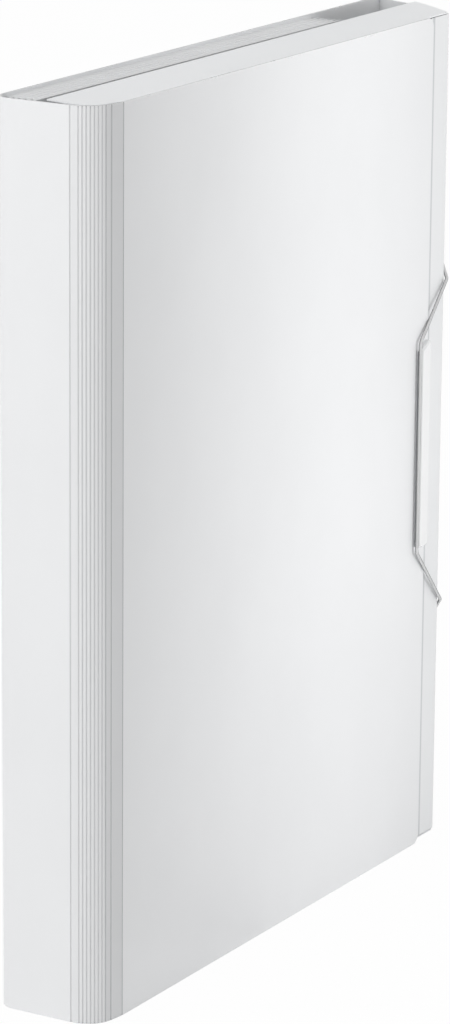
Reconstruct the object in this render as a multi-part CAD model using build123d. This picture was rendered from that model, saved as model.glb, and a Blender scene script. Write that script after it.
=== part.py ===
from build123d import *
import math
import os

# Expanding file for A4 papers, standing on its short end, closed.
# The plan is drawn with x from the spine's outer face towards the mouth, y from the
# front cover's outer face towards the back cover, and z up from the standing edge.
# Every solid is moved at the end, so that the origin is the middle of the footprint.

# Shell sheet and overall size
height = 330.0
depth = 43.8
front_width = 237.0
sheet = 0.8
cover_corner_radius = 4.0
spine_corner_radius = 7.0
crease_gap = 0.05

# Ribbed hinge between the spine and the front cover
score_count = 11
first_rib_width = 3.1
rib_width = 1.36
ninth_rib_width = 2.5
last_rib_width = 6.2
score_chamfer = 0.22
score_gap = 0.1
closed_turn = 90.0

# Closure flap: a bulged side wall and a lip that tucks under the front cover
lip_show = 16.2
lip_depth = 2.2
wall_slant = 20.0
lip_tuck = 1.5
lip_fold_in = 60.0
wall_bulge = 2.4
wall_end_gap = 0.9
lip_corner_radius = 5.0

# Side flaps at the top and bottom of the front cover
flap_sheet = 0.5
flap_inset = 0.2
flap_divider_gap = 7.2
flap_gap = 0.1
flap_arc_gap = 1.2
flap_spine_gap = 2.0
flap_mouth_gap = 1.0
flap_lift = 2.0
flap_strip_width = 12.0
flap_strip_end_gap = 3.5
flap_strip_mouth_gap = 10.5

# Pockets: dividers with index tabs, bound to a strip on the spine
divider_count = 5
divider_sheet = 0.5
divider_front = 30.1
divider_left_gap = 0.6
divider_lip_gap = 2.0
divider_end_gap = 1.2
divider_corner_radius = 6.0
tab_reach = 9.0
tab_length = 48.0
tab_corner_radius = 3.0
tab_end_margin = 16.0
binding_sheet = 0.8
binding_lead = 0.9
binding_end_gap = 1.2
rear_pocket_gap = 1.5

# Pleated gussets that close each pocket at the top and bottom
gusset_sheet = 0.3
gusset_fold = 18.0
gusset_weld = 3.0
gusset_spine_gap = 6.1
gusset_mouth_inset = 2.0
gusset_flat = 0.5

# Clear closure clip at the free edge of the front cover
clip_edge_gap = 0.6
clip_width = 7.4
clip_height = 2.2
clip_drop = 0.4
clip_length = 83.0
clip_top_slant = 4.4
clip_end_radius = 1.2
clip_edge_chamfer = 0.7
stud_radius = 1.1
stud_spacing = 60.0
backing_sheet = 0.8
backing_width = 4.0
backing_end_inset = 4.0

# Elastic loop with its two eyelets and stops in the closure wall
elastic_diameter = 1.3
elastic_gap = 1.1
elastic_side_gap = 0.3
elastic_end_gap = 0.5
elastic_drop = 1.0
elastic_rise = 23.3
elastic_corner_drop = 3.7
elastic_corner_clearance = 0.15
elastic_lip_gap = 0.35
elastic_bend_radius = 3.0
elastic_exit = 1.6
anchor_depth = 9.0
anchor_lead = 8.0
eyelet_bore_gap = 0.15
eyelet_barrel = 0.5
eyelet_flange_radius = 3.4
eyelet_flange = 0.5
eyelet_fit = 0.1
eyelet_seat = 0.1
stop_radius = 2.6
stop_length = 1.6

# Sizes worked out from the ones above
middle = height / 2
lip_corner_x = front_width + lip_show
back_width = lip_corner_x + wall_slant
lip_tip = front_width - lip_tuck
clip_right = front_width - clip_edge_gap
clip_left = clip_right - clip_width
clip_middle = middle - clip_drop
stud_heights = [clip_middle - stud_spacing / 2, clip_middle + stud_spacing / 2]
divider_left = sheet + binding_sheet + divider_left_gap
divider_mouth = lip_tip - divider_lip_gap - tab_reach
divider_length = height - 2 * divider_end_gap
rear_pocket_front = depth - sheet - divider_sheet
pocket_pitch = (rear_pocket_front - divider_front) / divider_count
score_turn = closed_turn / score_count
rib_count = score_count - 1
middle_ribs = [rib_width] * (rib_count - 3)
rib_widths = [first_rib_width] + middle_ribs + [ninth_rib_width, last_rib_width]
elastic_radius = elastic_diameter / 2
elastic_front = -(elastic_gap + elastic_diameter)
origin_shift = Pos(-back_width / 2, -(depth + elastic_front) / 2, 0)


def score_points():
    """The plan positions of the score lines, from the spine to the front cover."""
    points = [(0.0, 0.0)]
    for number, width in enumerate(rib_widths, start=1):
        turn = math.radians(number * score_turn)
        x, y = points[-1]
        points.append((x + width * math.sin(turn), y - width * math.cos(turn)))
    lift = sheet / 2 - points[-1][1]
    return [(x + sheet / 2, y + lift) for x, y in points]


scores = score_points()
spine_front = scores[0][1]
cover_left = scores[-1][0]


def upright(outline, low, high):
    """A solid with a closed plan outline, between two heights."""
    return Pos(0, 0, low) * extrude(make_face(outline), high - low)


def polygon(points):
    """A closed outline through a list of points."""
    return Polyline(*points, close=True)


def board(x_range, y_range, z_range):
    """A flat board between two corners."""
    size = [high - low for low, high in (x_range, y_range, z_range)]
    place = [low for low, high in (x_range, y_range, z_range)]
    return Pos(*place) * Box(*size, align=(Align.MIN, Align.MIN, Align.MIN))


def round_free_corners(solid, radius):
    """Round the two corners of an upright board at its largest x."""
    corners = solid.edges().filter_by(Axis.Y).group_by(Axis.X)[-1]
    return fillet(corners, radius)


def back_cover():
    """The flat back cover, mitred along its crease with the closure wall."""
    inner_right = back_width - sheet * math.tan(math.radians(mitre_back))
    outline = polygon([
        (spine_corner_radius, depth - sheet),
        (inner_right - crease_gap, depth - sheet),
        (back_width - crease_gap, depth),
        (spine_corner_radius, depth),
    ])
    return upright(outline, 0, height)


def spine_panel():
    """The spine with its rounded rear corner and the first score line's chamfer."""
    radius = spine_corner_radius
    centre = (radius, depth - radius)
    front = spine_front + score_gap / 2
    outline = [
        Line((sheet, depth - radius), (sheet, front)),
        Line((sheet, front), (score_chamfer, front)),
        Line((score_chamfer, front), (0, front + score_chamfer)),
        Line((0, front + score_chamfer), (0, depth - radius)),
        CenterArc(centre, radius, 90, 90),
        Line((radius, depth), (radius, depth - sheet)),
        CenterArc(centre, radius - sheet, 90, 90),
    ]
    return upright(outline, 0, height)


def hinge_rib(number):
    """One rib of the hinge: a slat between two score lines, chamfered outside."""
    turn = math.radians(number * score_turn)
    along = (math.sin(turn), -math.cos(turn))
    outward = (-math.cos(turn), -math.sin(turn))
    start = scores[number - 1]
    near = score_gap / 2
    far = rib_widths[number - 1] - score_gap / 2
    half = sheet / 2

    def place(run, out):
        x = start[0] + along[0] * run + outward[0] * out
        y = start[1] + along[1] * run + outward[1] * out
        return (x, y)

    outline = polygon([
        place(near, -half),
        place(far, -half),
        place(far, half - score_chamfer),
        place(far - score_chamfer, half),
        place(near + score_chamfer, half),
        place(near, half - score_chamfer),
    ])
    return upright(outline, 0, height)


def front_cover():
    """The front cover, with rounded free corners and holes for the clip's studs."""
    left = cover_left + score_gap / 2
    outline = polygon([
        (left, sheet),
        (left, score_chamfer),
        (left + score_chamfer, 0),
        (front_width, 0),
        (front_width, sheet),
    ])
    cover = round_free_corners(upright(outline, 0, height), cover_corner_radius)
    for z in stud_heights:
        cover -= stud(z, -1, sheet + 1)
    return cover


def stud(z, near, far):
    """A round stud through the front cover, from one depth to another."""
    centre = (clip_left + clip_right) / 2
    turned = Rot(-90, 0, 0) * Cylinder(
        stud_radius, far - near, align=(Align.CENTER, Align.CENTER, Align.MIN))
    return Pos(centre, near, z) * turned


def closure_clip():
    """The clear clip: a bevelled bar with a slanted upper end, and its studs."""
    low = clip_middle - clip_length / 2
    high = clip_middle + clip_length / 2
    outline = Polyline(
        (clip_left, 0, low),
        (clip_right, 0, low),
        (clip_right, 0, high),
        (clip_left, 0, high - clip_top_slant),
        close=True)
    bar = extrude(make_face(outline), clip_height, dir=(0, -1, 0))
    ends = bar.edges().filter_by(Axis.Y)
    bar = fillet(ends, min(clip_end_radius, clip_width * 0.45))
    front = bar.faces().sort_by(Axis.Y)[0]
    bar = chamfer(front.edges(), min(clip_edge_chamfer, clip_height * 0.45))
    for z in stud_heights:
        bar += stud(z, 0, sheet)
    return bar


def clip_backing():
    """The plate inside the front cover that the clip's studs are welded to."""
    centre = (clip_left + clip_right) / 2
    half = clip_length / 2 - backing_end_inset
    plate = board(
        (centre - backing_width / 2, centre + backing_width / 2),
        (sheet, sheet + backing_sheet),
        (clip_middle - half, clip_middle + half))
    return plate


def wall_arc():
    """Centre and radius of the closure wall's outer face in plan."""
    front = Vector(lip_corner_x, lip_depth)
    back = Vector(back_width, depth)
    chord = (back - front).length
    radius = (chord * chord / 4 + wall_bulge * wall_bulge) / (2 * wall_bulge)
    half_way = (front + back) / 2
    inward = Vector(-(back - front).Y, (back - front).X) / chord
    centre = half_way + inward * (radius - wall_bulge)
    return centre, radius


wall_centre, wall_radius = wall_arc()


def wall_angle(x, y):
    """Direction from the wall arc's centre to a plan point, in degrees."""
    return math.degrees(math.atan2(y - wall_centre.Y, x - wall_centre.X))


wall_start = wall_angle(lip_corner_x, lip_depth)
wall_end = wall_angle(back_width, depth)
# Each crease is mitred in half of its largest fold, which the wall's ends set
mitre_back = (90 - wall_end) / 2
mitre_lip = (90 + wall_start + lip_fold_in) / 2


def wall_point(angle, inset=0.0):
    """A plan point of the closure wall, inset from its outer face."""
    reach = wall_radius - inset
    turn = math.radians(angle)
    return (wall_centre.X + reach * math.cos(turn), wall_centre.Y + reach * math.sin(turn))


def wall_angle_at(y):
    """Direction of the wall's outer face where it crosses a depth."""
    return math.degrees(math.asin((y - wall_centre.Y) / wall_radius))


def degrees_along(length):
    """The angle that a length along the wall's outer face spans."""
    return math.degrees(length / wall_radius)


def closure_wall():
    """The bulged side wall, mitred at both creases, with holes for the eyelets."""
    outer_start = wall_start + degrees_along(crease_gap)
    outer_end = wall_end - degrees_along(crease_gap)
    inner_start = outer_start + degrees_along(sheet * math.tan(math.radians(mitre_lip)))
    inner_end = outer_end - degrees_along(sheet * math.tan(math.radians(mitre_back)))
    middle_angle = (outer_start + outer_end) / 2
    outline = [
        ThreePointArc(
            wall_point(outer_start), wall_point(middle_angle), wall_point(outer_end)),
        Line(wall_point(outer_end), wall_point(inner_end, sheet)),
        ThreePointArc(
            wall_point(inner_end, sheet), wall_point(middle_angle, sheet),
            wall_point(inner_start, sheet)),
        Line(wall_point(inner_start, sheet), wall_point(outer_start)),
    ]
    wall = upright(outline, wall_end_gap, height - wall_end_gap)
    for z in anchor_heights:
        wall -= anchor_place(z) * Cylinder(eyelet_hole_radius, 6 * sheet)
    return wall


def closure_lip():
    """The lip that tucks under the front cover, tapered at its ends."""
    inner_right = lip_corner_x - sheet * math.tan(math.radians(mitre_lip))
    outline = polygon([
        (lip_tip, lip_depth),
        (lip_corner_x - crease_gap, lip_depth),
        (inner_right - crease_gap, lip_depth + sheet),
        (lip_tip, lip_depth + sheet),
    ])
    lip = upright(outline, wall_end_gap, height - wall_end_gap)
    corners = lip.edges().filter_by(Axis.Y).group_by(Axis.X)[0]
    return fillet(corners, lip_corner_radius)


anchor_angle = wall_angle_at(anchor_depth)
corner_middle = clip_middle - elastic_corner_drop
corner_reach = clip_length / 2 + elastic_rise
anchor_reach = corner_reach + anchor_lead
anchor_heights = [corner_middle - anchor_reach, corner_middle + anchor_reach]
eyelet_bore_radius = elastic_radius + eyelet_bore_gap
eyelet_barrel_radius = eyelet_bore_radius + eyelet_barrel
eyelet_hole_radius = eyelet_barrel_radius + eyelet_fit


def anchor_place(z):
    """A frame on the wall's outer face at an eyelet, its z axis pointing outwards."""
    turn = math.radians(anchor_angle)
    x, y = wall_point(anchor_angle)
    outward = (math.cos(turn), math.sin(turn), 0)
    return Plane(origin=(x, y, z), x_dir=(0, 0, 1), z_dir=outward).location


def disc(z, radius, low, high):
    """A disc on an eyelet's axis, between two distances from the wall's outer face."""
    solid = Cylinder(radius, high - low, align=(Align.CENTER, Align.CENTER, Align.MIN))
    return anchor_place(z) * Pos(0, 0, low) * solid


eyelet_inner = -sheet - eyelet_seat
eyelet_back = eyelet_inner - eyelet_flange


def elastic_eyelet(z):
    """A two-flanged eyelet through the closure wall."""
    outer = disc(z, eyelet_flange_radius, 0, eyelet_flange)
    inner = disc(z, eyelet_flange_radius, eyelet_back, eyelet_inner)
    barrel = disc(z, eyelet_barrel_radius, eyelet_inner, 0)
    bore = disc(z, eyelet_bore_radius, eyelet_back - 1, eyelet_flange + 1)
    return outer + barrel + inner - bore


def elastic_stop(z):
    """The crimped stop on the elastic's end, behind its eyelet."""
    return disc(z, stop_radius, eyelet_back - stop_length, eyelet_back)


def elastic_route():
    """Corner points of the elastic, from its upper to its lower end."""
    front = -elastic_gap - elastic_radius
    left = clip_left - elastic_side_gap - elastic_radius
    corner = lip_corner_x + elastic_corner_clearance + elastic_radius
    corner_front = lip_depth - elastic_lip_gap - elastic_radius
    kink_reach = clip_length / 2 + elastic_end_gap
    exit_out = eyelet_flange + elastic_exit
    low, high = anchor_heights
    route = []
    for z, side in ((high, 1), (low, -1)):
        stop = anchor_place(z) * Pos(0, 0, eyelet_back)
        out = anchor_place(z) * Pos(0, 0, exit_out)
        bend = (corner, corner_front, corner_middle + side * corner_reach)
        kink = (left, front, clip_middle - elastic_drop + side * kink_reach)
        leg = [tuple(stop.position), tuple(out.position), bend, kink]
        route += leg if side > 0 else leg[::-1]
    return route


def elastic():
    """The round elastic loop, held by its stops and hooked behind the clip."""
    route = elastic_route()
    bends = [elastic_radius * 1.1] + [elastic_bend_radius] * 4 + [elastic_radius * 1.1]
    path = FilletPolyline(*route, radius=bends)
    start = path @ 0
    section = Plane(origin=start, z_dir=path % 0) * Circle(elastic_radius)
    return sweep(section, path=path)


def flap_outline():
    """Plan outline of a side flap, following the ribbed corner and the closure wall."""
    front = sheet
    gap = flap_arc_gap
    back = divider_front - flap_divider_gap
    corner = [
        (x + (sheet / 2 + gap) * math.cos(math.radians(turn)),
         y + (sheet / 2 + gap) * math.sin(math.radians(turn)))
        for (x, y), turn in zip(scores, [score_turn * (k + 0.5) for k in range(score_count)])
    ]
    corner_right = corner[-1][0]
    left = [(sheet + flap_spine_gap, back)] + corner
    right_angle = wall_angle_at(back)
    right = [
        (corner_right, front + flap_gap),
        (front_width - cover_corner_radius, front + flap_gap),
        (front_width + flap_mouth_gap, lip_depth),
        (lip_corner_x - flap_mouth_gap, lip_depth),
    ]
    wall_back = wall_point(right_angle, flap_mouth_gap)
    wall_middle = wall_point((right_angle + wall_start) / 2, flap_mouth_gap)
    return left, right, wall_middle, wall_back


def side_flap():
    """One side flap in plan, as a face at height 0."""
    left, right, wall_middle, wall_back = flap_outline()
    edges = [
        Polyline(*(left + right)),
        ThreePointArc(right[-1], wall_middle, wall_back),
        Line(wall_back, left[0]),
    ]
    return make_face(edges)


def top_flap():
    """The flap that closes the top, hinged inside the front cover and sprung up a little."""
    top = height - flap_inset
    flat = Pos(0, 0, top - flap_sheet) * extrude(side_flap(), flap_sheet)
    crease = Axis((0, sheet + flap_gap, top), (1, 0, 0))
    return flat.rotate(crease, flap_lift)


def bottom_flap():
    """The flap that closes the bottom, hinged inside the front cover."""
    return Pos(0, 0, flap_inset) * extrude(side_flap(), flap_sheet)


def flap_strip(at_top):
    """The strip of a side flap that is welded inside the front cover."""
    outer = flap_inset + flap_sheet + flap_gap
    low = height - outer - flap_strip_width if at_top else outer
    return board(
        (cover_left + flap_strip_end_gap, front_width - flap_strip_mouth_gap),
        (sheet, sheet + flap_sheet),
        (low, low + flap_strip_width))


def divider_depth(number):
    """Depth of a divider's front face, counted from the front cover."""
    return divider_front + (number - 1) * pocket_pitch


def divider(number):
    """A divider sheet with its index tab, each tab a step lower than the last."""
    near = divider_depth(number)
    far = near + divider_sheet
    panel = round_free_corners(
        board(
            (divider_left, divider_mouth), (near, far),
            (divider_end_gap, divider_end_gap + divider_length)),
        divider_corner_radius)
    run = divider_length - 2 * tab_end_margin - tab_length
    low = divider_end_gap + tab_end_margin + run * (divider_count - number) / (divider_count - 1)
    tab = round_free_corners(
        board((divider_mouth - tab_reach, divider_mouth + tab_reach), (near, far),
              (low, low + tab_length)),
        tab_corner_radius)
    return panel + tab


def rear_pocket_sheet():
    """The rear wall of the last pocket, welded flat inside the back cover."""
    return round_free_corners(
        board(
            (spine_corner_radius + rear_pocket_gap, divider_mouth),
            (rear_pocket_front, rear_pocket_front + divider_sheet),
            (divider_end_gap, height - divider_end_gap)),
        divider_corner_radius)


def pocket_binding():
    """The strip welded to the spine that the dividers are bound to."""
    return board(
        (sheet, sheet + binding_sheet),
        (divider_front - binding_lead, depth - spine_corner_radius),
        (binding_end_gap, height - binding_end_gap))


def gusset(number, at_top):
    """The folded gusset that closes one pocket: two arms that meet in an inner fold."""
    near = divider_depth(number) + divider_sheet
    far = divider_depth(number + 1)
    centre = (near + far) / 2
    end = height - divider_end_gap
    weld = end - gusset_weld
    fold = end - gusset_fold
    half = gusset_flat / 2
    section = [
        (near, end),
        (near, weld),
        (centre - half, fold),
        (centre + half, fold),
        (far, weld),
        (far, end),
        (far - gusset_sheet, end),
        (far - gusset_sheet, weld),
        (centre, fold + gusset_sheet * 4),
        (near + gusset_sheet, weld),
        (near + gusset_sheet, end),
    ]
    if not at_top:
        section = [(y, height - z) for y, z in section]
    outline = [(0, y, z) for y, z in section]
    left = divider_left + gusset_spine_gap
    right = divider_mouth - gusset_mouth_inset - divider_corner_radius
    profile = make_face(Polyline(*outline, close=True))
    return Pos(left, 0, 0) * extrude(profile, right - left, dir=(1, 0, 0))


def save(name, solid):
    """Write one sub-part, moved to the part's own origin."""
    export_step(origin_shift * solid, f"parts/{name}.step")


def build():
    """Every sub-part by name."""
    parts = {
        "back_cover": back_cover(),
        "spine_panel": spine_panel(),
        "front_cover": front_cover(),
        "closure_clip": closure_clip(),
        "clip_backing": clip_backing(),
        "closure_wall": closure_wall(),
        "closure_lip": closure_lip(),
        "elastic_loop": elastic(),
        "upper_eyelet": elastic_eyelet(anchor_heights[1]),
        "lower_eyelet": elastic_eyelet(anchor_heights[0]),
        "upper_stop": elastic_stop(anchor_heights[1]),
        "lower_stop": elastic_stop(anchor_heights[0]),
        "top_flap": top_flap(),
        "top_flap_strip": flap_strip(True),
        "bottom_flap": bottom_flap(),
        "bottom_flap_strip": flap_strip(False),
        "pocket_binding": pocket_binding(),
        "rear_pocket_sheet": rear_pocket_sheet(),
    }
    for number in range(1, rib_count + 1):
        parts[f"hinge_rib_{number:02d}"] = hinge_rib(number)
    for number in range(1, divider_count + 1):
        parts[f"divider_{number}"] = divider(number)
        parts[f"top_gusset_{number}"] = gusset(number, True)
        parts[f"bottom_gusset_{number}"] = gusset(number, False)
    return parts


os.makedirs("parts", exist_ok=True)
parts = build()
for name, solid in parts.items():
    save(name, solid)
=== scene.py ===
import math

import bmesh
import bpy
from mathutils import Euler, Matrix, Vector

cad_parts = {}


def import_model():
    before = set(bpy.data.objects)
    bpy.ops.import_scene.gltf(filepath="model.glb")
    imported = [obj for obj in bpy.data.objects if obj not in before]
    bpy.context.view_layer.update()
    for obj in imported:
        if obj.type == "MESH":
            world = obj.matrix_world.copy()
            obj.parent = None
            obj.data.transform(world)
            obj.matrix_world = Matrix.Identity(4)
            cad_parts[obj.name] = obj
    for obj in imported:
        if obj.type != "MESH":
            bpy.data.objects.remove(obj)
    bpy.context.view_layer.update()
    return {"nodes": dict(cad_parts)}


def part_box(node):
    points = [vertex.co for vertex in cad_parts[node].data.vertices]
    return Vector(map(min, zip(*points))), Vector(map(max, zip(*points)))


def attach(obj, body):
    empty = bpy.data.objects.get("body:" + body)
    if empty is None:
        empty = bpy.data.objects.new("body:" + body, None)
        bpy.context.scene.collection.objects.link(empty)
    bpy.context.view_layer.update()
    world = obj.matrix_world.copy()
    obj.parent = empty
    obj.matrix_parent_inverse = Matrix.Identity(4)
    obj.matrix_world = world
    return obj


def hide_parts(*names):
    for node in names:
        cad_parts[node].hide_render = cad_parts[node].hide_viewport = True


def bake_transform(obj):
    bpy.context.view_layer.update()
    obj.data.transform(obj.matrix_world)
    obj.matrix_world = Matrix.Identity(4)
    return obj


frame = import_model()

MM = 0.001

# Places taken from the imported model: spine outer face, front cover outer face, standing edge
ORIGIN = Vector((
    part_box("spine_panel")[0].x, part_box("front_cover")[0].y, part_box("front_cover")[0].z))
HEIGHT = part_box("front_cover")[1].z
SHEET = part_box("front_cover")[1].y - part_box("front_cover")[0].y
COVER_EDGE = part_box("front_cover")[1].x
RIBS = sorted(name for name in frame["nodes"] if name.startswith("hinge_rib_"))
DIVIDERS = sorted(name for name in frame["nodes"] if name.startswith("divider_"))

# Round the closed corner, each rib faces this much further on than the one before
RIB_TURN = math.radians(90.0 / (len(RIBS) + 1))

# The photograph's camera, measured from the corner at the standing edge of the front cover
CAMERA_PLACE = (-1272.9 * MM, -805.5 * MM, 595.4 * MM)
CAMERA_YAW = 59.316
CAMERA_PITCH = 15.066
CAMERA_ROLL = 0.445
CAMERA_FOCAL_PX = 4537.7
CAMERA_CLIP_END = 50
IMAGE_HEIGHT_PX = 1024
SENSOR = 36.0

# Softened edges of the CAD nodes
SHELL_BEVEL = 0.1 * MM
POCKET_BEVEL = 0.06 * MM
SIDE_FLAP_BEVEL = 0.05 * MM
CLIP_BEVEL = 0.25 * MM
BACKING_BEVEL = 0.15 * MM
FITTING_BEVEL = 0.1 * MM
BEVEL_SEGMENTS = 2
BEVEL_ANGLE = math.radians(40)

# The web of sheet that is left at a score line
WEB_WIDTH = 0.34 * MM
WEB_DEPTH = 0.3 * MM

# A chamfered face beside a score line points outwards by a share between these, and it
# lies within this reach of the spine's or the front cover's scored corner
SCORE_FACING = (0.3, 0.97)
SCORE_REACH = 0.7 * MM

# The widest ribs, next to the front cover, get a darker painted shade
DARKER_SHADED_RIBS = 2

# A gusset's film, and the reach that is left on each side of its fold
FILM = 0.3 * MM
FOLD_REACH = 0.33 * MM
FOLD_LEAST = 0.03 * MM
FILM_STATIONS = 28
FILM_STEPS = 12

# The film waves along the pocket, with a shift from one gusset to the next, in radians
WAVE_LENGTH = 17.0
WAVE_SHIFT = 2.1

# Shares of a gusset's depth: where its fold ends, where its arms have met, and how thick
# the film is at the fold. The second value of a pair is what the wave adds.
FOLD_END = (0.03, 0.05)
ARMS_MEET = (0.018, 0.008)
FOLD_THICKNESS = 0.02

# Noise scales in waves a metre, along x, y and z
SHEET_CLOUDS = (22, 22, 16)
SHEET_WAVES = (14, 14, 9)
SHEET_STROKES = (260, 260, 5200)
SHEET_STREAKS = (60, 60, 900)
SHEET_GRAIN = (3600, 3600, 3600)
EDGE_SCUFFS = (900, 900, 900)
FILM_CLOUDS = (30, 30, 24)
FILM_RIPPLES = (26, 40, 7)
FILM_GRAIN = (2400, 2400, 2400)
CLEAR_FLOW = (70, 70, 22)
CLEAR_GRAIN = (1500, 1500, 500)
CORD_WEAVE = (1400, 1400, 1400)
MOULDED_SPECKS = (1800, 1800, 1800)

# How light bends in polypropylene and clear plastic, and in the elastic
PLASTIC_IOR = 1.49
ELASTIC_IOR = 1.45

# The sheet's cut edges are darker, and scuffed and polished within a short reach
CUT_TINT = 0.72
CUT_FACING = [(0.8, 0.0), (0.9, 1.0)]
SCUFF_REACH = 1.6 * MM
SCUFF_HEIGHT = 1.6
SCUFF_STOPS = [(0.25, 0.0), (0.6, 1.0)]
SCUFF_POLISH = 0.14
STREAK_ROUGHNESS = 0.12

# Painted shadow: a grey line on the lip's outer face, just past the front cover's edge, where
# that edge casts its shadow
EDGE_SHADOW_REACH = 5.6 * MM
EDGE_SHADOW_TINT = (0.72, 0.725, 0.735)
EDGE_SHADOW_STOPS = [(0.5, 0.0), (0.68, 1.0), (0.86, 1.0), (1.0, 0.0)]
OUTSIDE_FACING = [(0.1, 1.0), (0.2, 0.0)]

# Painted shade: clear plastic and elastic are darkened at their sides by this much, in place
# of the shadow in the gaps beside them
PAINTED_SIDE_SHADE = (0.35, 0.36, 0.37)
CLIP_SHADED_FACING = [(0.7, 0.0), (0.95, 1.0)]
CORD_SHADED_FACING = [(0.02, 0.0), (0.16, 1.0)]
CORD_SHADED_START = 0.8

MOULDED_COLOUR = (0.86, 0.865, 0.87)
WHITE = (1, 1, 1, 1)

# The floor's own colour, and how much of what is seen of it is plain white
FLOOR_COLOUR = (0.93, 0.93, 0.93)
FLOOR_ROUGHNESS = 0.9
FLOOR_GLOW_SHARE = 0.97
FLOOR_REACH = 6.0
FLOOR_DROP = 0.05 * MM

# Each lamp's place and target, its width and height, all in metres, its power in watts
# and its spread in degrees
LAMPS = {
    "spine_side": ((-1.2, 0.25, 0.75), (-0.13, 0, HEIGHT / 2), (0.8, 0.8), 4.4, 180),
    "mouth_side": ((0.042, -0.9, 0.21), (0.042, 0, 0.21), (0.06, 0.7), 0.15, 24),
    "overhead": ((0.1, 0.3, 2.6), (0, 0, 0), (2.2, 2.2), 0.5, 180),
}
WORLD_STRENGTH = 0.632


def node(name):
    """A CAD node's object."""
    return frame["nodes"][name]


def shader_of(made):
    """A material's Principled shader."""
    return made.node_tree.nodes["Principled BSDF"]


def material(name, colour, roughness):
    """A new Principled material and its shader."""
    made = bpy.data.materials.new(name)
    made.use_nodes = True
    made.diffuse_color = (*colour, 1)
    shader = shader_of(made)
    shader.inputs["Base Color"].default_value = (*colour, 1)
    shader.inputs["Roughness"].default_value = roughness
    return made, shader


def add(made, kind, **values):
    """A new shader node, with its plain properties and named inputs set."""
    new = made.node_tree.nodes.new(kind)
    for key, value in values.items():
        if key in new.inputs:
            new.inputs[key].default_value = value
        else:
            setattr(new, key, value)
    return new


def join(made, output, target):
    """A link from one shader node's output to another's input."""
    made.node_tree.links.new(output, target)


def place_texture(made, scale):
    """Object coordinates in metres, times a scale for each axis."""
    place = add(made, "ShaderNodeTexCoord")
    mapping = add(made, "ShaderNodeMapping", Scale=scale)
    join(made, place.outputs["Object"], mapping.inputs["Vector"])
    return mapping.outputs["Vector"]


def noise(made, scale, detail, roughness=0.5):
    """A noise pattern over object coordinates with a scale for each axis."""
    pattern = add(made, "ShaderNodeTexNoise", Scale=1.0, Detail=detail, Roughness=roughness)
    join(made, place_texture(made, scale), pattern.inputs["Vector"])
    return pattern.outputs["Fac"]


def ramp(made, factor, stops):
    """A colour ramp over a factor, from (position, grey or colour) stops."""
    colours = add(made, "ShaderNodeValToRGB")
    bar = colours.color_ramp
    while len(bar.elements) < len(stops):
        bar.elements.new(1.0)
    for element, (position, colour) in zip(bar.elements, stops):
        element.position = position
        shade = (colour,) * 3 if isinstance(colour, float) else colour
        element.color = (*shade, 1)
    join(made, factor, colours.inputs["Fac"])
    return colours.outputs["Color"]


def maths(made, operation, *values):
    """A Math node over its inputs, each a socket or a number."""
    result = add(made, "ShaderNodeMath", operation=operation)
    for socket, value in zip(result.inputs, values):
        if isinstance(value, (int, float)):
            socket.default_value = value
        else:
            join(made, value, socket)
    return result.outputs["Value"]


def coordinate(made, source, axis):
    """One axis of the object's own coordinates, or of the way a face points in them."""
    place = add(made, "ShaderNodeTexCoord")
    parts = add(made, "ShaderNodeSeparateXYZ")
    join(made, place.outputs[source], parts.inputs["Vector"])
    return parts.outputs[axis]


def bump(made, shader, layers):
    """Bump layers on a shader, each a height socket with its strength and distance."""
    normal = None
    for height, strength, distance in layers:
        raised = add(made, "ShaderNodeBump", Strength=strength, Distance=distance)
        join(made, height, raised.inputs["Height"])
        if normal is not None:
            join(made, normal, raised.inputs["Normal"])
        normal = raised.outputs["Normal"]
    join(made, normal, shader.inputs["Normal"])


def varied_colour(made, shader, colour, factor, spread):
    """Base colour that drifts a little darker and lighter with a factor."""
    low = tuple(max(0.0, c - spread) for c in colour)
    high = tuple(min(1.0, c + spread) for c in colour)
    join(made, ramp(made, factor, [(0.3, low), (0.7, high)]), shader.inputs["Base Color"])


def shade_where(made, shader, factor, tint):
    """Multiply the shader's base colour by a tint where a factor is 1."""
    link = shader.inputs["Base Color"].links[0]
    mixed = add(made, "ShaderNodeMix", data_type="RGBA", blend_type="MULTIPLY")
    join(made, factor, mixed.inputs["Factor"])
    join(made, link.from_socket, mixed.inputs["A"])
    mixed.inputs["B"].default_value = (*tint, 1)
    join(made, mixed.outputs["Result"], shader.inputs["Base Color"])


def edge_wear(made):
    """A factor that rises, unevenly, close to the sheet's top and bottom edges."""
    up = coordinate(made, "Object", "Z")
    nearest = maths(made, "MINIMUM", maths(made, "SUBTRACT", HEIGHT, up), up)
    inwards = maths(made, "DIVIDE", nearest, SCUFF_REACH)
    scuffs = maths(made, "MULTIPLY", noise(made, EDGE_SCUFFS, detail=2.0), SCUFF_HEIGHT)
    return ramp(made, maths(made, "SUBTRACT", scuffs, inwards), SCUFF_STOPS)


def sheet_roughness(made, roughness, worn_edges):
    """Roughness with faint streaks, and a little polish where the edges are worn."""
    streaks = noise(made, SHEET_STREAKS, detail=2.0)
    uneven = maths(
        made, "MULTIPLY_ADD", streaks, STREAK_ROUGHNESS, roughness - STREAK_ROUGHNESS / 2)
    if not worn_edges:
        return uneven
    polish = maths(made, "MULTIPLY", edge_wear(made), SCUFF_POLISH)
    return maths(made, "SUBTRACT", uneven, polish)


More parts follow.
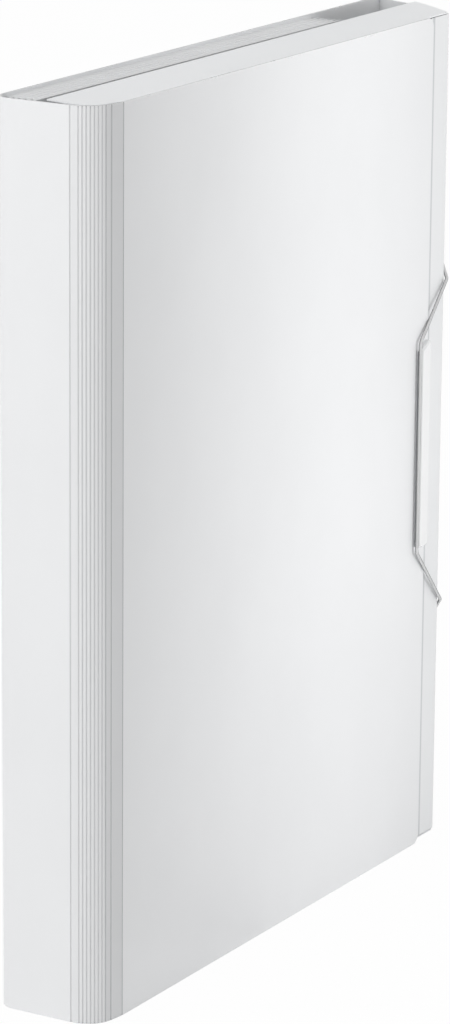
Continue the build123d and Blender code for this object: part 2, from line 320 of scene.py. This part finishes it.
def sheet_plastic(name, colour, roughness, emboss, cut_tint=CUT_TINT, worn_edges=True):
    """Polypropylene sheet: a fine brushed emboss, faint clouding and scuffed edges."""
    made, shader = material(name, colour, roughness)
    varied_colour(made, shader, colour, noise(made, SHEET_CLOUDS, detail=3.0), 0.012)
    level = maths(made, "ABSOLUTE", coordinate(made, "Normal", "Z"))
    shade_where(made, shader, ramp(made, level, CUT_FACING), (cut_tint,) * 3)
    bump(made, shader, [
        (noise(made, SHEET_WAVES, detail=1.0), 0.12, 0.6 * MM),
        (noise(made, SHEET_STROKES, detail=3.0, roughness=0.6), emboss, 0.05 * MM),
        (noise(made, SHEET_GRAIN, detail=2.0), emboss * 0.6, 0.02 * MM),
    ])
    join(made, sheet_roughness(made, roughness, worn_edges), shader.inputs["Roughness"])
    shader.inputs["IOR"].default_value = PLASTIC_IOR
    shader.inputs["Subsurface Weight"].default_value = 0.08
    shader.inputs["Subsurface Radius"].default_value = (1.0, 1.0, 1.0)
    shader.inputs["Subsurface Scale"].default_value = 0.6 * MM
    return made


def lip_plastic():
    """The closure flap's sheet, with a painted shadow of the front cover's edge on it."""
    made = sheet_plastic("flap_plastic", (0.90, 0.91, 0.92), roughness=0.36, emboss=0.12)
    # Painted shadow: a grey band just past the front cover's edge, only on faces pointing out
    # of the front
    past_cover = maths(made, "SUBTRACT", coordinate(made, "Object", "X"), COVER_EDGE)
    edge_shadow = ramp(made, maths(made, "DIVIDE", past_cover, EDGE_SHADOW_REACH), EDGE_SHADOW_STOPS)
    outside = ramp(made, coordinate(made, "Normal", "Y"), OUTSIDE_FACING)
    line = maths(made, "MULTIPLY", edge_shadow, outside)
    shade_where(made, shader_of(made), line, EDGE_SHADOW_TINT)
    return made


def frosted_film(name, colour, roughness, clear):
    """Thin frosted film for the pockets: cloudy, softly rippled and a little see-through."""
    made, shader = material(name, colour, roughness)
    varied_colour(made, shader, colour, noise(made, FILM_CLOUDS, detail=3.0), 0.02)
    bump(made, shader, [
        (noise(made, FILM_RIPPLES, detail=2.0), 0.25, 0.8 * MM),
        (noise(made, FILM_GRAIN, detail=2.0), 0.2, 0.03 * MM),
    ])
    shader.inputs["IOR"].default_value = PLASTIC_IOR
    shader.inputs["Transmission Weight"].default_value = clear
    return made


def clear_plastic():
    """Clear moulded plastic of the clip: glossy, with a faint flow ripple and painted shade on
    its sides.
    """
    colour = (0.98, 0.985, 0.99)
    made, shader = material("clear_plastic", colour, roughness=0.08)
    flow = noise(made, CLEAR_FLOW, detail=1.0)
    varied_colour(made, shader, colour, flow, 0.01)
    sideways = maths(made, "ABSOLUTE", coordinate(made, "Normal", "X"))
    # Painted shade on the faces that point sideways, in place of the shadow in the gap beside
    # the clip
    shade_where(made, shader, ramp(made, sideways, CLIP_SHADED_FACING), PAINTED_SIDE_SHADE)
    grain = noise(made, CLEAR_GRAIN, detail=2.0)
    bump(made, shader, [(flow, 0.2, 0.25 * MM), (grain, 0.08, 0.02 * MM)])
    shader.inputs["IOR"].default_value = PLASTIC_IOR
    shader.inputs["Transmission Weight"].default_value = 0.06
    shader.inputs["Coat Weight"].default_value = 0.5
    shader.inputs["Coat Roughness"].default_value = 0.04
    return made


def elastic_cord():
    """Translucent elastic: a fine spiral cover, and a line of painted shade along each side
    and underneath.
    """
    made, shader = material("elastic_cord", (0.78, 0.79, 0.80), roughness=0.34)
    weave = add(
        made, "ShaderNodeTexWave", Scale=1.0, Distortion=1.5, Detail=2.0,
        wave_type="BANDS", bands_direction="DIAGONAL")
    join(made, place_texture(made, CORD_WEAVE), weave.inputs["Vector"])
    shade = ramp(made, weave.outputs["Fac"], [(0.0, 0.82), (1.0, 0.96)])
    join(made, shade, shader.inputs["Base Color"])
    # Painted shade: darker on the underside towards the cover and on the side turned away from
    # the camera, in place of contact shadow
    under = coordinate(made, "Normal", "Y")
    across = maths(made, "SUBTRACT", coordinate(made, "Normal", "X"), under)
    outer = maths(made, "SUBTRACT", across, CORD_SHADED_START)
    side = ramp(made, maths(made, "MAXIMUM", under, outer), CORD_SHADED_FACING)
    shade_where(made, shader, side, PAINTED_SIDE_SHADE)
    bump(made, shader, [(weave.outputs["Fac"], 0.5, 0.08 * MM)])
    shader.inputs["IOR"].default_value = ELASTIC_IOR
    shader.inputs["Transmission Weight"].default_value = 0.3
    shader.inputs["Sheen Weight"].default_value = 0.2
    return made


def moulded_plastic():
    """White moulded plastic of the eyelets and stops."""
    made, shader = material("moulded_plastic", MOULDED_COLOUR, roughness=0.32)
    specks = noise(made, MOULDED_SPECKS, detail=3.0)
    varied_colour(made, shader, MOULDED_COLOUR, specks, 0.02)
    bump(made, shader, [(specks, 0.15, 0.02 * MM)])
    return made


def dress(name, made, bevel=0.0):
    """Give a CAD node its material, and softened edges where it has them."""
    item = node(name)
    item.data.materials.clear()
    item.data.materials.append(made)
    if bevel:
        softened = item.modifiers.new("softened_edges", "BEVEL")
        softened.width = bevel
        softened.segments = BEVEL_SEGMENTS
        softened.limit_method = "ANGLE"
        softened.angle_limit = BEVEL_ANGLE
        softened.harden_normals = True
    return item


def mesh_piece(name, points, faces, made):
    """A new mesh object from points and faces."""
    data = bpy.data.meshes.new(name)
    data.from_pydata([tuple(point) for point in points], [], faces)
    data.materials.append(made)
    data.update()
    piece = bpy.data.objects.new(name, data)
    bpy.context.scene.collection.objects.link(piece)
    return piece


def smooth(piece):
    """Smooth shading on every face of a piece."""
    for face in piece.data.polygons:
        face.use_smooth = True
    return piece


def closed_outward(piece):
    """Turn a closed mesh's faces to point outwards."""
    shape = bmesh.new()
    shape.from_mesh(piece.data)
    bmesh.ops.recalc_face_normals(shape, faces=shape.faces)
    shape.to_mesh(piece.data)
    shape.free()
    return piece


def swept(name, rings, made):
    """A closed skin over rings of points, with capped ends."""
    count = len(rings[0])
    points = [point for ring in rings for point in ring]
    faces = []
    for start in range(0, len(points) - count, count):
        for side in range(count):
            after = (side + 1) % count
            faces.append((
                start + side, start + after, start + count + after, start + count + side))
    faces.append(tuple(range(count)))
    faces.append(tuple(range(len(points) - count, len(points))))
    return closed_outward(mesh_piece(name, points, faces, made))


def rib_directions(number):
    """In plan, along the sheet and out of its outer face, counted in ribs from the spine."""
    turn = RIB_TURN * number
    along = Vector((math.sin(turn), -math.cos(turn)))
    return along, Vector((along.y, -along.x))


def mark_scored(item, scored, number):
    """Give the chamfered faces beside a piece's score lines their own material, a darker one
    that paints the shade in the score grooves.
    """
    item.data.materials.append(scored)
    outward = rib_directions(number)[1].to_3d()
    faces = item.data.polygons
    left = min(face.center.x for face in faces) + SCORE_REACH
    front = min(face.center.y for face in faces) + SCORE_REACH
    for face in faces:
        level = abs(face.normal.dot(outward))
        beside = item.name in RIBS or (face.center.x < left and face.center.y < front)
        face.material_index = int(beside and SCORE_FACING[0] < level < SCORE_FACING[1])


def dress_shell(shell, ribs, darker_shaded_ribs, flap):
    """Covers, spine, ribs and closure flap; ribs have a face and a score material, both darker
    copies of the shell plastic that paint shade.
    """
    for name in ["back_cover", "spine_panel", "front_cover"]:
        dress(name, shell, SHELL_BEVEL)
    for number, name in enumerate(RIBS, start=1):
        # Painted shade: the ribs next to the front cover take the darker rib and score
        # materials
        face, scored = darker_shaded_ribs if number > len(RIBS) - DARKER_SHADED_RIBS else ribs
        mark_scored(dress(name, face), scored, number)
    mark_scored(node("spine_panel"), ribs[1], 0)
    mark_scored(node("front_cover"), darker_shaded_ribs[1], len(RIBS) + 1)
    for name in ["closure_wall", "closure_lip"]:
        dress(name, flap, SHELL_BEVEL)


def rib_ends():
    """For each rib, the plan middles of its two end faces, in order from the spine."""
    ends = []
    for number, name in enumerate(RIBS, start=1):
        along, outward = rib_directions(number)
        corners = [vertex.co.to_2d() for vertex in node(name).data.vertices]
        runs = [corner.dot(along) for corner in corners]
        outs = [corner.dot(outward) for corner in corners]
        middle = (min(outs) + max(outs)) / 2
        ends.append([along * run + outward * middle for run in (min(runs), max(runs))])
    return ends


def web_places():
    """The plan middle of each score line, in order from the spine."""
    ends = rib_ends()
    half_gap = (ends[1][0] - ends[0][1]).length / 2
    first = ends[0][0] - rib_directions(0.5)[0] * half_gap
    last = ends[-1][1] + rib_directions(len(RIBS) + 0.5)[0] * half_gap
    between = [(before[1] + after[0]) / 2 for before, after in zip(ends, ends[1:])]
    return [first] + between + [last]


def score_webs(made):
    """The thin web of sheet that joins the ribs at each score line."""
    riders = RIBS + ["front_cover"]
    for number, (middle, rider) in enumerate(zip(web_places(), riders)):
        along, across = rib_directions(number + 0.5)
        ring = [
            middle + along * run * WEB_WIDTH / 2 + across * out * WEB_DEPTH / 2
            for run, out in ((-1, -1), (1, -1), (1, 1), (-1, 1))]
        rings = [
            [Vector((point.x, point.y, z)) for point in ring]
            for z in (SHEET, HEIGHT - SHEET)]
        web = swept(f"score_web_{number + 1:02d}", rings, made)
        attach(web, rider)


def smooth_step(share):
    """A smooth step's value."""
    return share * share * (3 - 2 * share)


def gusset_arm(half_span, end, fold, sag):
    """An arm's outer and inner line, as (reach, height) from its edge down to the fold."""
    tip = fold + (end - fold) * (FOLD_END[0] + FOLD_END[1] * sag)
    meet = ARMS_MEET[0] + ARMS_MEET[1] * sag
    outer = []
    inner = []
    for step in range(FILM_STEPS + 1):
        down = (step / FILM_STEPS) ** 2
        z = end + (tip - end) * down
        drawn = smooth_step(min(1.0, down / meet))
        reach = half_span - (half_span - FOLD_REACH) * drawn
        outer.append((reach, z))
        inner.append((max(reach - FILM, FOLD_LEAST), z + (end - fold) * FOLD_THICKNESS * down))
    return outer, inner


def gusset_ring(x, centre, outer, inner):
    """The film's section at one place: over both outer faces, and back over the inner."""
    left_outer = [Vector((x, centre - reach, z)) for reach, z in outer]
    right_outer = [Vector((x, centre + reach, z)) for reach, z in reversed(outer)]
    right_inner = [Vector((x, centre + reach, z)) for reach, z in inner]
    left_inner = [Vector((x, centre - reach, z)) for reach, z in reversed(inner)]
    return left_outer + right_outer + right_inner + left_inner


def gusset_piece(name, number, film):
    """One pleated gusset as soft film: two arms and an inner fold, waved a little."""
    low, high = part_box(name)
    end, fold = (high.z, low.z) if low.z > HEIGHT / 2 else (low.z, high.z)
    rings = []
    for station in range(FILM_STATIONS + 1):
        share = station / FILM_STATIONS
        sag = 0.5 + 0.5 * math.cos(share * WAVE_LENGTH + number * WAVE_SHIFT)
        outer, inner = gusset_arm((high.y - low.y) / 2, end, fold, sag)
        x = low.x + (high.x - low.x) * share
        rings.append(gusset_ring(x, (low.y + high.y) / 2, outer, inner))
    return smooth(swept(name + "_film", rings, film))


def gusset(name, number, film):
    """A gusset as soft film, in place of its CAD node."""
    piece = gusset_piece(name, number, film)
    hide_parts(name)
    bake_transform(piece)


def dress_pockets(pocket, film):
    """Dividers, the rear pocket sheet, the binding and the gussets."""
    for name in DIVIDERS + ["rear_pocket_sheet", "pocket_binding"]:
        dress(name, pocket, POCKET_BEVEL)
    for number in range(1, len(DIVIDERS) + 1):
        gusset(f"top_gusset_{number}", number, film)
        gusset(f"bottom_gusset_{number}", number, film)


def dress_fittings(elastic, clear, moulded):
    """The elastic loop, the clip, its backing, the eyelets and the stops."""
    smooth(dress("elastic_loop", elastic))
    dress("closure_clip", clear, CLIP_BEVEL)
    dress("clip_backing", clear, BACKING_BEVEL)
    for name in ["upper_eyelet", "lower_eyelet", "upper_stop", "lower_stop"]:
        dress(name, moulded, FITTING_BEVEL)


def dress_side_flaps(made):
    """The side flaps and their strips."""
    for name in ["top_flap", "bottom_flap", "top_flap_strip", "bottom_flap_strip"]:
        dress(name, made, SIDE_FLAP_BEVEL)


def seen_as_background(made):
    """1 for the rays that show the plain background, to the camera or in the object."""
    path = add(made, "ShaderNodeLightPath")
    seen = path.outputs["Is Camera Ray"]
    for kind in ["Is Glossy Ray", "Is Transmission Ray"]:
        seen = maths(made, "MAXIMUM", seen, path.outputs[kind])
    return seen


def mix_shaders(made, share, first, second, output):
    """An output that goes from a first shader to a second one with a share."""
    mixed = add(made, "ShaderNodeMixShader")
    join(made, share, mixed.inputs["Fac"])
    join(made, first, mixed.inputs[1])
    join(made, second, mixed.inputs[2])
    join(made, mixed.outputs["Shader"], output.inputs["Surface"])


def floor():
    """A plain pale floor that reads as white and keeps the object's shadow."""
    made, shader = material("floor", FLOOR_COLOUR, FLOOR_ROUGHNESS)
    glow = add(made, "ShaderNodeEmission", Color=WHITE, Strength=1.0)
    share = maths(made, "MULTIPLY", seen_as_background(made), FLOOR_GLOW_SHARE)
    mix_shaders(
        made, share, shader.outputs["BSDF"], glow.outputs["Emission"],
        made.node_tree.nodes["Material Output"])
    signs = ((-1, -1), (1, -1), (1, 1), (-1, 1))
    corners = [Vector((x * FLOOR_REACH, y * FLOOR_REACH, 0)) for x, y in signs]
    ground = mesh_piece("floor", corners, [(0, 1, 2, 3)], made)
    ground.location.z = ORIGIN.z - FLOOR_DROP


def world():
    """An even pale surround, seen as plain white."""
    made = bpy.data.worlds.new("surround")
    made.use_nodes = True
    bpy.context.scene.world = made
    made.node_tree.nodes.clear()
    soft = add(made, "ShaderNodeBackground", Color=WHITE, Strength=WORLD_STRENGTH)
    white = add(made, "ShaderNodeBackground", Color=WHITE, Strength=1.0)
    output = add(made, "ShaderNodeOutputWorld")
    mix_shaders(
        made, seen_as_background(made), soft.outputs["Background"],
        white.outputs["Background"], output)


def area_light(name, place, target, size, power, spread):
    """A soft lamp aimed at a target."""
    data = bpy.data.lights.new(name, "AREA")
    data.shape = "RECTANGLE"
    data.size, data.size_y = size
    data.energy = power
    data.spread = math.radians(spread)
    lamp = bpy.data.objects.new(name, data)
    lamp.location = place
    lamp.rotation_euler = (Vector(target) - Vector(place)).to_track_quat("-Z", "Y").to_euler()
    lamp.visible_camera = False
    bpy.context.scene.collection.objects.link(lamp)


def camera():
    """The photograph's camera."""
    data = bpy.data.cameras.new("photo_camera")
    data.sensor_fit = "VERTICAL"
    data.sensor_height = SENSOR
    data.lens = SENSOR * CAMERA_FOCAL_PX / IMAGE_HEIGHT_PX
    data.clip_end = CAMERA_CLIP_END
    seat = bpy.data.objects.new("photo_camera", data)
    aim = Euler((math.radians(90 - CAMERA_PITCH), 0, -math.radians(CAMERA_YAW))).to_matrix()
    aim = aim @ Matrix.Rotation(math.radians(CAMERA_ROLL), 3, "Z")
    seat.matrix_world = Matrix.Translation(ORIGIN + Vector(CAMERA_PLACE)) @ aim.to_4x4()
    bpy.context.scene.collection.objects.link(seat)
    bpy.context.scene.camera = seat


shell_plastic = sheet_plastic(
    "shell_plastic", (0.897, 0.904, 0.914), roughness=0.42, emboss=0.35)
# Painted shade: darker copies of the shell plastic for the ribs and for the faces in their
# score grooves, darkest next to the front cover
shaded_rib_plastic = sheet_plastic(
    "shaded_rib_plastic", (0.85, 0.856, 0.865), roughness=0.40, emboss=0.25)
darker_shaded_rib_plastic = sheet_plastic(
    "darker_shaded_rib_plastic", (0.765, 0.771, 0.78), roughness=0.40, emboss=0.25)
score_shade_plastic = sheet_plastic(
    "score_shade_plastic", (0.72, 0.725, 0.735), roughness=0.40, emboss=0.25)
darker_score_shade_plastic = sheet_plastic(
    "darker_score_shade_plastic", (0.58, 0.585, 0.595), roughness=0.40, emboss=0.25)
side_flap_plastic = sheet_plastic(
    "side_flap_plastic", (0.945, 0.96, 0.975), roughness=0.4, emboss=0.04,
    cut_tint=1.0, worn_edges=False)
pocket_plastic = frosted_film(
    "pocket_plastic", (0.95, 0.96, 0.97), roughness=0.45, clear=0.05)
gusset_plastic = frosted_film(
    "gusset_film", (0.93, 0.94, 0.95), roughness=0.4, clear=0.08)

dress_shell(
    shell_plastic,
    (shaded_rib_plastic, score_shade_plastic),
    (darker_shaded_rib_plastic, darker_score_shade_plastic),
    lip_plastic())
score_webs(score_shade_plastic)
dress_side_flaps(side_flap_plastic)
dress_pockets(pocket_plastic, gusset_plastic)
dress_fittings(elastic_cord(), clear_plastic(), moulded_plastic())

floor()
for name, values in LAMPS.items():
    area_light(name, *values)
world()
camera()
bpy.context.scene.view_settings.view_transform = "Standard"

bpy.context.view_layer.update()
